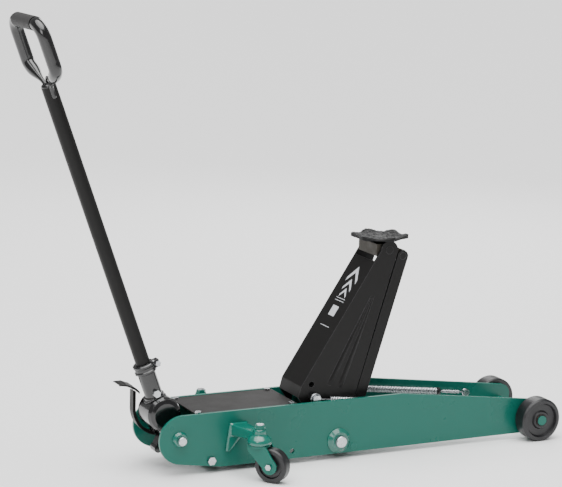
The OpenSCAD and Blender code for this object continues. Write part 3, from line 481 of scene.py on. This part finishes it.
@dataclass
class ReturnSprings:
    """Two long extension springs that pull the lift arm down, each hooked on a stub and a stud."""

    coil_radius: float = 8.2 * MM
    wire: float = 1.5 * MM
    pitch: float = 4.2 * MM
    rear_lead: float = 36 * MM
    front_lead: float = 78 * MM
    turn_steps: int = 12
    wire_sides: int = 7

    def helix(self, start: Vector, end: Vector) -> list[Vector]:
        """Centre line of the coil's wire.

        Args:
            start: rear end of the coil's axis.
            end: front end of the coil's axis.

        Returns:
            Points along the wire.
        """
        axis = (end - start).normalized()
        side = axis.cross(Vector((0, 1, 0))).normalized()
        up = axis.cross(side)
        reach = self.coil_radius - self.wire
        steps = int((end - start).length / self.pitch) * self.turn_steps
        return [start.lerp(end, i / steps) + reach * (
            math.cos(2 * math.pi * i / self.turn_steps) * side
            + math.sin(2 * math.pi * i / self.turn_steps) * up) for i in range(steps + 1)]

    def hook(self, bm: bmesh.types.BMesh, centre: Vector, towards: Vector, radius: float,
             reach: float) -> None:
        """Adds a round hook about a stud with a straight shank towards the coil.

        Args:
            bm: the mesh it goes into.
            centre: the stud's centre.
            towards: unit vector from the stud to the coil.
            radius: radius of the hook's wire centre line.
            reach: length of the shank from the stud's centre.
        """
        up = Vector((0, 1, 0)).cross(towards)
        loop = [centre + radius * (math.cos(a) * towards + math.sin(a) * up)
                for a in (math.radians(40 + 10 * i) for i in range(33))]
        bend = [centre + towards * (radius + 5 * MM), centre + towards * reach]
        sweep(bm, loop + bend, lambda share: self.wire, 8)

    def make(self) -> None:
        """Builds both springs, their end plugs and their threaded tails."""
        low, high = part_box("return_springs")
        side = high.y - 9 * MM
        stub, stud = middle("crosshead_pin"), middle("spring_studs")
        for sign, name in ((-1, "right"), (1, "left")):
            rear, front = (Vector((p.x, sign * side, p.z)) for p in (stub, stud))
            ahead = (front - rear).normalized()
            coil_start, coil_end = rear + ahead * self.rear_lead, front - ahead * self.front_lead
            bm = bmesh.new()
            sweep(bm, self.helix(coil_start, coil_end), lambda share: self.wire, self.wire_sides)
            self.hook(bm, rear, ahead, 11.6 * MM, self.rear_lead + 2 * MM)
            made = to_object(f"return_spring_{name}", bm, ZINC, "chassis",
                             ["return_springs"] if sign < 0 else [])
            self.follow(made, front)
            bm = bmesh.new()
            lathe(bm, coil_end - ahead * 4 * MM, ahead, [
                (0.1 * MM, 0), (self.coil_radius - 3.2 * MM, 0.2 * MM), (self.coil_radius - 3.2 * MM, 4 * MM),
                (self.coil_radius + 0.6 * MM, 4.5 * MM), (self.coil_radius + 0.6 * MM, 10 * MM),
                (self.coil_radius - 1 * MM, 12 * MM), (3 * MM, 13 * MM), (0.1 * MM, 13.2 * MM)], 28)
            self.follow(to_object(f"spring_plug_{name}", bm, BLACK_NYLON, "chassis"), front)
            bm = bmesh.new()
            tail = coil_end + ahead * 8 * MM
            self.hook(bm, front, -ahead, 7.2 * MM, (front - tail).length)
            self.thread(bm, tail + ahead * 6 * MM, front - ahead * 14 * MM)
            self.follow(to_object(f"spring_tail_{name}", bm, ZINC, "chassis"), front)
        LOG.info("return springs: two coils with plugs and threaded tails")

    def thread(self, bm: bmesh.types.BMesh, start: Vector, end: Vector) -> None:
        """Adds the coarse thread of the adjusting tail between two points."""
        axis = (end - start).normalized()
        turns = int((end - start).length / (3.4 * MM))
        profile = []
        for i in range(turns):
            profile += [(2.6 * MM, i * 3.4 * MM), (4.6 * MM, (i + 0.5) * 3.4 * MM)]
        profile.append((2.6 * MM, turns * 3.4 * MM))
        lathe(bm, start, axis, profile, 16)

    @staticmethod
    def follow(made: bpy.types.Object, front: Vector) -> None:
        """Works out how far the crosshead pin moves as the arm comes down and gives the piece a mesh of its own;
        the piece is not shortened.
        """
        lift = JOINTS["lift"]
        pivot = Vector(lift["pos_m"])
        pin = middle("crosshead_pin")
        turn = Matrix.Rotation(math.radians(lift["range_deg"][1]), 3, Vector(lift["axis"]))
        moved = pivot + turn @ (pin - pivot) - pin
        moved.y = 0
        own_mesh(made)


# ---------------------------------------------------------------- lift arm

@dataclass
class LiftArm:
    """The pressed arm's swaged ribs and the printed label."""

    rib_low: float = 110 * MM
    rib_high: float = 330 * MM
    rib_height: float = 2.4 * MM
    sink: float = 0.05 * MM
    print_height: float = 0.15 * MM

    def __post_init__(self) -> None:
        """Finds the arm's own frame from its joints."""
        self.pivot = Vector(JOINTS["lift"]["pos_m"])
        tip = Vector(JOINTS["carrier_tilt"]["pos_m"])
        self.along = (tip - self.pivot).normalized()
        self.back = Vector((-self.along.z, 0, self.along.x))
        self.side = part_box("lift_arm")[1].y

    def at(self, u: float, v: float, y: float) -> Vector:
        """Place of a point given up the arm, back from its pivot line, and across."""
        return self.pivot + self.along * u + self.back * v + Vector((0, y, 0))

    def make(self) -> None:
        """Builds the ribs on both sides and the label."""
        for sign, name in ((-1, "right"), (1, "left")):
            self.rib(sign, f"arm_rib_{name}")
        self.label()
        LOG.info("lift arm: two swaged ribs and a label")

    def rib(self, sign: int, name: str) -> None:
        """Builds a swaged rib: two ridges that part towards the foot, with a valley between.

        Args:
            sign: -1 for the right side, 1 for the left.
            name: the piece's name.
        """
        rows, columns = 72, 36
        bm = bmesh.new()
        outer, inner = [], []
        for i in range(rows + 1):
            share = i / rows
            u = self.rib_high + (self.rib_low - self.rib_high) * share
            centre = (7 + 27 * share) * MM
            half = (4 + 17 * share ** 0.8) * MM
            fade = min(1.0, share / 0.08, (1 - share) / 0.05)
            fade = fade * fade * (3 - 2 * fade)
            for line, lift in ((outer, True), (inner, False)):
                row = []
                for j in range(columns + 1):
                    t = 2 * j / columns - 1
                    ridge = max(0.0, 1 - abs(abs(t) - 0.62) / 0.38)
                    ridge = ridge * ridge * (3 - 2 * ridge)
                    height = self.rib_height * fade * ridge if lift else -0.4 * MM
                    across = sign * (self.side + height - self.sink)
                    row.append(bm.verts.new(self.at(u, centre + half * t, across)))
                line.append(row)
        close_sheet(bm, outer, inner)
        to_object(name, bm, BLACK_POWDER, "arm")

    def web(self, u: float, y: float, proud: float) -> Vector:
        """Point on the outside of the arm's web, or a little proud of it."""
        crease_low, crease_high = (93 * MM, 114 * MM), (443 * MM, 16 * MM)
        slope = (crease_high[1] - crease_low[1]) / (crease_high[0] - crease_low[0])
        tilt = math.atan(slope)
        v = crease_low[1] + (u - crease_low[0]) * slope
        return self.at(u - math.sin(tilt) * proud, v + math.cos(tilt) * proud, y)

    def label(self) -> None:
        """Prints three plain chevrons, two rules and a plain block on the web."""
        shapes = []
        for u, half, rise in ((350, 23, 30), (327, 18, 22), (309, 14, 17)):
            shapes.append([(u, -half), (u + rise, 0), (u, half), (u - 0.32 * rise, half), (u + 0.5 * rise, 0),
                           (u - 0.32 * rise, -half)])
        for u in (300, 294):
            shapes.append([(u, -20), (u + 1.2, -20), (u + 1.2, 20), (u, 20)])
        shapes.append([(258, -13), (282, -13), (282, 13), (258, 13)])
        shapes.append([(232, -20), (233.2, -20), (233.2, 20), (232, 20)])
        bm = bmesh.new()
        for shape in shapes:
            low = [bm.verts.new(self.web(u * MM, y * MM, -self.sink)) for u, y in shape]
            high = [bm.verts.new(self.web(u * MM, y * MM, self.print_height)) for u, y in shape]
            count = len(shape)
            for i in range(count):
                bm.faces.new((low[i], low[(i + 1) % count], high[(i + 1) % count], high[i]))
            for ring in (low, high):
                edges = [bm.edges.get((ring[i], ring[(i + 1) % count])) for i in range(count)]
                bmesh.ops.contextual_create(bm, geom=edges)
        to_object("arm_label", bm, LABEL_PRINT, "arm", smooth=False)


# ---------------------------------------------------------------- saddle

@dataclass
class Saddle:
    """Cast saddle: a rough round dish with six lobes that turn up at the rim."""

    lobes: int = 6
    rim: float = 57 * MM
    reach: float = 64.6 * MM
    rings: int = 40
    steps: int = 192

    def make(self) -> None:
        """Builds the dish with its lobes and pebbles in one skin."""
        centre = Vector(JOINTS["saddle_turn"]["pos_m"])
        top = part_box("saddle")[1].z - centre.z
        base = 14.5 * MM
        bm = bmesh.new()
        rings = []
        for share, inside in self._stations():
            ring = []
            for i in range(self.steps):
                angle = 2 * math.pi * i / self.steps
                lobe = 0.5 + 0.5 * math.cos(self.lobes * (angle - math.radians(30)))
                lobe = lobe ** 1.5
                edge = self.rim + (self.reach - self.rim) * lobe
                radius = share * edge
                ring.append(bm.verts.new(self._point(centre, angle, radius, share, lobe, inside, base, top)))
            rings.append(ring)
        skin(bm, rings)
        stem = [(11.9 * MM, 10.8 * MM), (11.9 * MM, base + 3 * MM)]
        lathe(bm, centre, Vector((0, 0, 1)), stem, 32)
        to_object("saddle_dish", bm, CAST_BLACK, "saddle", ["saddle"])
        LOG.info("saddle: cast dish with %d lobes", self.lobes)

    def _stations(self) -> list[tuple[float, bool]]:
        """Shares of the radius, going out along the underside and back in along the top."""
        under = [(0.02 + 0.98 * i / self.rings, False) for i in range(self.rings + 1)]
        over = [(1 - 0.98 * i / self.rings, True) for i in range(self.rings + 1)]
        return under + over

    def _point(self, centre: Vector, angle: float, radius: float, share: float, lobe: float, above: bool,
               base: float, top: float) -> Vector:
        """Point of the skin, with its pebbles.

        Args:
            centre: the saddle pivot.
            angle: direction round the saddle.
            radius: distance from the axis.
            share: the same as a share of the rim.
            lobe: how far this direction lies in a lobe, from 0 to 1.
            above: whether the point is on the top face.
            base: height of the underside at the middle.
            top: height of the CAD saddle above the pivot.

        Returns:
            The point.
        """
        turned_up = max(0.0, share - 0.62) / 0.38
        if above:
            height = base + 9 * MM + 3 * MM * share ** 2 + lobe * turned_up * 5.5 * MM
        else:
            height = base + 7.5 * MM * share ** 2
        height -= 3 * MM * (max(0.0, share - 0.9) / 0.1) ** 2 if above else 0.0
        place = Vector((radius * math.cos(angle), radius * math.sin(angle), height))
        pebble = noise.noise(place * (1 / (6 * MM))) + 0.6 * noise.noise(place * (1 / (2.8 * MM)))
        proud = 1.5 * MM * pebble * min(1.0, share * 3)
        limit = top - 0.2 * MM
        place.z = min(place.z + (proud if above else -0.5 * proud), limit)
        if above is False:
            place.z = max(place.z, base)
        return centre + place


# ---------------------------------------------------------------- handle

@dataclass
class Handle:
    """Handle with its D-shaped grip, the weld at its socket and the leaf of the pedal."""

    bar: float = 13.8 * MM
    prong: float = 5.2 * MM
    tube_radius: float = 16 * MM
    leaf_slope: float = 25.0
    leaf_length: float = 51 * MM
    leaf_thickness: float = 4 * MM

    def __post_init__(self) -> None:
        """Finds the handle's own frame from its joints."""
        self.pivot = Vector(JOINTS["handle_pump"]["pos_m"])
        self.along = Vector(JOINTS["release_twist"]["axis"]).normalized()
        self.front = Vector((self.along.z, 0, -self.along.x))
        self.loop_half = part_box("grip_loop")[1].y - self.bar

    def at(self, s: float, y: float, x: float = 0.0) -> Vector:
        """Place of a point given up the handle, across it and in front of it."""
        return self.pivot + self.along * s + Vector((0, y, 0)) + self.front * x

    def make(self) -> None:
        """Builds the grip, the hook, the weld at the socket and the pedal's leaf."""
        self.grip()
        self.hook()
        self.socket_weld()
        self.pedal_leaf()
        LOG.info("handle: D grip, hook, socket weld and pedal leaf")

    def grip(self) -> None:
        """Builds the bent loop, whose legs narrow to prongs that clasp the tube."""
        top = (middle("grip_sleeve") - self.pivot).dot(self.along)
        base = self.base_of_loop()
        half = self.loop_half
        corner = 30 * MM
        knots = [(base - 26 * MM, 14.5 * MM), (base - 6 * MM, 15 * MM), (base + 6 * MM, 22 * MM),
                 (base + 22 * MM, 0.62 * half), (base + 42 * MM, half - 3 * MM), (base + 62 * MM, half)]
        path = [Vector((y, s, 0)) for s, y in self._smooth(knots)]
        bend_centre = Vector((half - corner, top - corner, 0))
        for i in range(13):
            angle = math.radians(7.5 * i)
            path.append(bend_centre + corner * Vector((math.cos(angle), math.sin(angle), 0)))
        mirrored = [Vector((-p.x, p.y, 0)) for p in reversed(path)]
        whole = [self.at(p.y, p.x) for p in path + mirrored]
        lengths = [0.0]
        for first, second in zip(whole, whole[1:]):
            lengths.append(lengths[-1] + (second - first).length)
        total = lengths[-1]
        shares = [length / total for length in lengths]

        def radius(share: float) -> float:
            """Radius of the bar, thin at the prongs and full at the hips."""
            index = share * (len(whole) - 1)
            low = int(index)
            real = shares[low] + (shares[min(low + 1, len(whole) - 1)] - shares[low]) * (index - low)
            end = min(real, 1 - real) * total
            grown = min(1.0, max(0.0, (end - 40 * MM) / (50 * MM)))
            grown = grown * grown * (3 - 2 * grown)
            nose = min(1.0, 0.45 + end / (5 * MM))
            return (self.prong + (self.bar - self.prong) * grown) * nose

        bm = bmesh.new()
        sweep(bm, whole, radius, 24)
        lathe(bm, self.at(base, 0), self.along, [
            (15.9 * MM, 0.1 * MM), (15.9 * MM, 2 * MM), (14.5 * MM, 5 * MM), (10 * MM, 7.5 * MM),
            (0.5 * MM, 8.5 * MM)], 40)
        to_object("d_grip", bm, GLOSS_BLACK, "handle", ["grip_loop"])

    def base_of_loop(self) -> float:
        """Height of the tube's top along the handle."""
        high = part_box("handle_tube")[1]
        lean = math.atan2(-self.along.x, self.along.z)
        return (high.z - self.pivot.z - self.tube_radius * math.sin(lean)) / math.cos(lean)

    @staticmethod
    def _smooth(knots: Sequence[tuple[float, float]]) -> list[tuple[float, float]]:
        """Smooth curve through the knots, by Catmull-Rom pieces."""
        points = [knots[0], *knots, knots[-1]]
        curve = []
        for a, b, c, d in zip(points, points[1:], points[2:], points[3:]):
            for i in range(6):
                t = i / 6
                curve.append(tuple(
                    0.5 * (2 * q + (r - p) * t + (2 * p - 5 * q + 4 * r - s) * t * t
                           + (3 * q - p - 3 * r + s) * t ** 3) for p, q, r, s in zip(a, b, c, d)))
        curve.append(knots[-1])
        return curve

    def hook(self) -> None:
        """Builds the small bent rod between the prongs."""
        base = self.base_of_loop()
        path = [self.at(base + 4 * MM + 15 * MM * math.sin(a), 11 * MM * math.cos(a), 3 * MM)
                for a in (math.radians(12 * i) for i in range(16))]
        bm = bmesh.new()
        sweep(bm, path, lambda share: 2.6 * MM, 12)
        to_object("grip_hook", bm, GLOSS_BLACK, "handle")

    def socket_weld(self) -> None:
        """Builds the lumpy weld bead round the foot of the socket."""
        random.seed(7)
        foot = 86 * MM
        path = []
        for i in range(97):
            angle = 2 * math.pi * i / 96
            saddle = -3 * MM * math.cos(2 * angle) - 3 * MM
            path.append(self.at(foot + saddle, 22.5 * MM * math.sin(angle), 22.5 * MM * math.cos(angle)))
        sizes = [2.4 * MM + 0.5 * MM * math.sin(i * 1.9) + random.uniform(-0.3, 0.3) * MM for i in range(97)]
        bm = bmesh.new()
        sweep(bm, path, lambda share: sizes[min(96, round(share * 96))], 10)
        to_object("socket_weld", bm, GLOSS_BLACK, "yoke")

    def pedal_leaf(self) -> None:
        """Builds the pedal's pad as an arched leaf with rolled edges and raised ribs."""
        low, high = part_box("pedal_pad")
        slope = math.radians(self.leaf_slope)
        out = Vector((-math.cos(slope), 0, math.sin(slope)))
        up = Vector((math.sin(slope), 0, math.cos(slope)))
        inner = Vector((high.x - 2 * MM, (low.y + high.y) / 2, low.z + 4.5 * MM))
        half = (high.y - low.y) / 2
        rows, columns = 60, 24
        bm = bmesh.new()
        tops, bottoms = [], []
        for i in range(rows + 1):
            share = i / rows
            arch = 5 * MM * (1 - (2 * share - 1) ** 2) - 2.2 * MM * max(0.0, share - 0.7) / 0.3
            narrow = half * (1 - 0.16 * share ** 3 - 0.1 * (1 - share) ** 4)
            rib = 1.0 * MM * max(0.0, math.sin(share * 6 * math.pi)) ** 3 if 0.15 < share < 0.9 else 0.0
            top, bottom = [], []
            for j in range(columns + 1):
                t = 2 * j / columns - 1
                roll = -1.6 * MM * abs(t) ** 6
                ridge = rib if abs(t) < 0.8 else 0.0
                spot = inner + out * self.leaf_length * share + Vector((0, narrow * t, 0))
                top.append(bm.verts.new(spot + up * (arch + roll + ridge)))
                depth = self.leaf_thickness * (1 - 0.4 * share ** 4)
                bottom.append(bm.verts.new(spot + up * (arch + roll - depth)))
            tops.append(top)
            bottoms.append(bottom)
        close_sheet(bm, tops, bottoms)
        to_object("pedal_leaf", bm, BLACK_POWDER, "pedal", ["pedal_pad"])


# ---------------------------------------------------------------- casters

@dataclass
class Casters:
    """Cast brackets that carry the two rear casters."""

    voxel: float = 1.8 * MM
    rounds: int = 10

    def make(self) -> None:
        """Builds both brackets with soft cast fillets."""
        for name in ("right", "left"):
            cast_copy(f"caster_casting_{name}", f"caster_bracket_{name}", CAST_ENAMEL, "chassis",
                      self.voxel, self.rounds)
        LOG.info("casters: two bracket castings")


# ---------------------------------------------------------------- studio

@dataclass
class Studio:
    """Plain pale floor, soft lights and the camera."""

    camera_place: Vector = field(default_factory=lambda: Vector((-2.0265, -4.0740, 1.3406)))
    yaw: float = 25.80
    pitch: float = 10.43
    roll: float = 1.413
    lens: float = 134.9
    shift: tuple[float, float] = (0.0161, -0.0207)
    backdrop: float = 1.0
    fill: float = 0.35
    sun: float = 5.0

    def camera(self) -> None:
        """Sets the camera at the working view: a long lens from the right rear, a little above."""
        yaw, pitch, roll = (math.radians(a) for a in (self.yaw, self.pitch, self.roll))
        ahead = Vector((math.sin(yaw) * math.cos(pitch), math.cos(yaw) * math.cos(pitch), -math.sin(pitch)))
        side = ahead.cross(Vector((0, 0, 1))).normalized()
        up = side.cross(ahead)
        side, up = (side * math.cos(roll) + up * math.sin(roll), up * math.cos(roll) - side * math.sin(roll))
        data = bpy.data.cameras.new("camera")
        data.lens = self.lens
        data.sensor_width = 36
        data.shift_x, data.shift_y = self.shift
        data.clip_end = 50
        made = bpy.data.objects.new("camera", data)
        turn = Matrix((side, up, -ahead)).transposed().to_4x4()
        made.matrix_world = Matrix.Translation(self.camera_place) @ turn
        bpy.context.scene.collection.objects.link(made)
        bpy.context.scene.camera = made

    def lights(self) -> None:
        """Large soft boxes over and beside the jack, and an even white surround."""
        world = bpy.data.worlds.new("surround")
        world.use_nodes = True
        tree = world.node_tree
        tree.nodes.clear()
        white = (1, 1, 1, 1)
        seen = add_node(tree, "ShaderNodeBackground", values={"Color": white, "Strength": self.backdrop})
        cast = add_node(tree, "ShaderNodeBackground", values={"Color": white, "Strength": self.fill})
        path = add_node(tree, "ShaderNodeLightPath")
        both = add_node(tree, "ShaderNodeMixShader",
                        links={0: path.outputs["Is Camera Ray"], 1: cast.outputs[0], 2: seen.outputs[0]})
        add_node(tree, "ShaderNodeOutputWorld", links={0: both.outputs[0]})
        bpy.context.scene.world = world
        boxes = (("top_box", (-0.2, -0.4, 3.2), 2.0, 30), ("front_box", (-2.6, -2.4, 2.2), 1.4, 30),
                 ("rim_box", (1.8, 2.6, 2.0), 1.6, 30))
        for name, place, size, power in boxes:
            data = bpy.data.lights.new(name, "AREA")
            data.shape = "SQUARE"
            data.size = size
            data.energy = power
            self.aim(name, data, Vector(place))
        even = bpy.data.lights.new("even_top", "SUN")
        even.energy = self.sun
        even.angle = math.radians(70)
        self.aim("even_top", even, Vector((-0.6, -0.5, 4)))

    @staticmethod
    def aim(name: str, data: bpy.types.Light, place: Vector) -> None:
        """Stands a light at a place and turns it towards the jack."""
        made = bpy.data.objects.new(name, data)
        made.location = place
        made.rotation_euler = (Vector((0, 0, 0.3)) - place).to_track_quat("-Z", "Y").to_euler()
        bpy.context.scene.collection.objects.link(made)

    def floor(self) -> None:
        """A wide pale floor."""
        bm = bmesh.new()
        bmesh.ops.create_grid(bm, x_segments=1, y_segments=1, size=30)
        mesh = bpy.data.meshes.new("floor")
        bm.to_mesh(mesh)
        bm.free()
        paint = bpy.data.materials.new("pale_floor")
        paint.use_nodes = True
        shader = paint.node_tree.nodes["Principled BSDF"]
        shader.inputs["Base Color"].default_value = (0.93, 0.93, 0.93, 1)
        shader.inputs["Roughness"].default_value = 0.6
        mesh.materials.append(paint)
        made = bpy.data.objects.new("floor", mesh)
        bpy.context.scene.collection.objects.link(made)


def main() -> None:
    logging.basicConfig(level=logging.INFO, format="%(message)s")
    studio = Studio()
    studio.camera()
    studio.lights()
    studio.floor()
    PlainNodes().dress()
    ReturnSprings().make()
    LiftArm().make()
    Saddle().make()
    Handle().make()
    Casters().make()


if __name__ == "__main__":
    main()
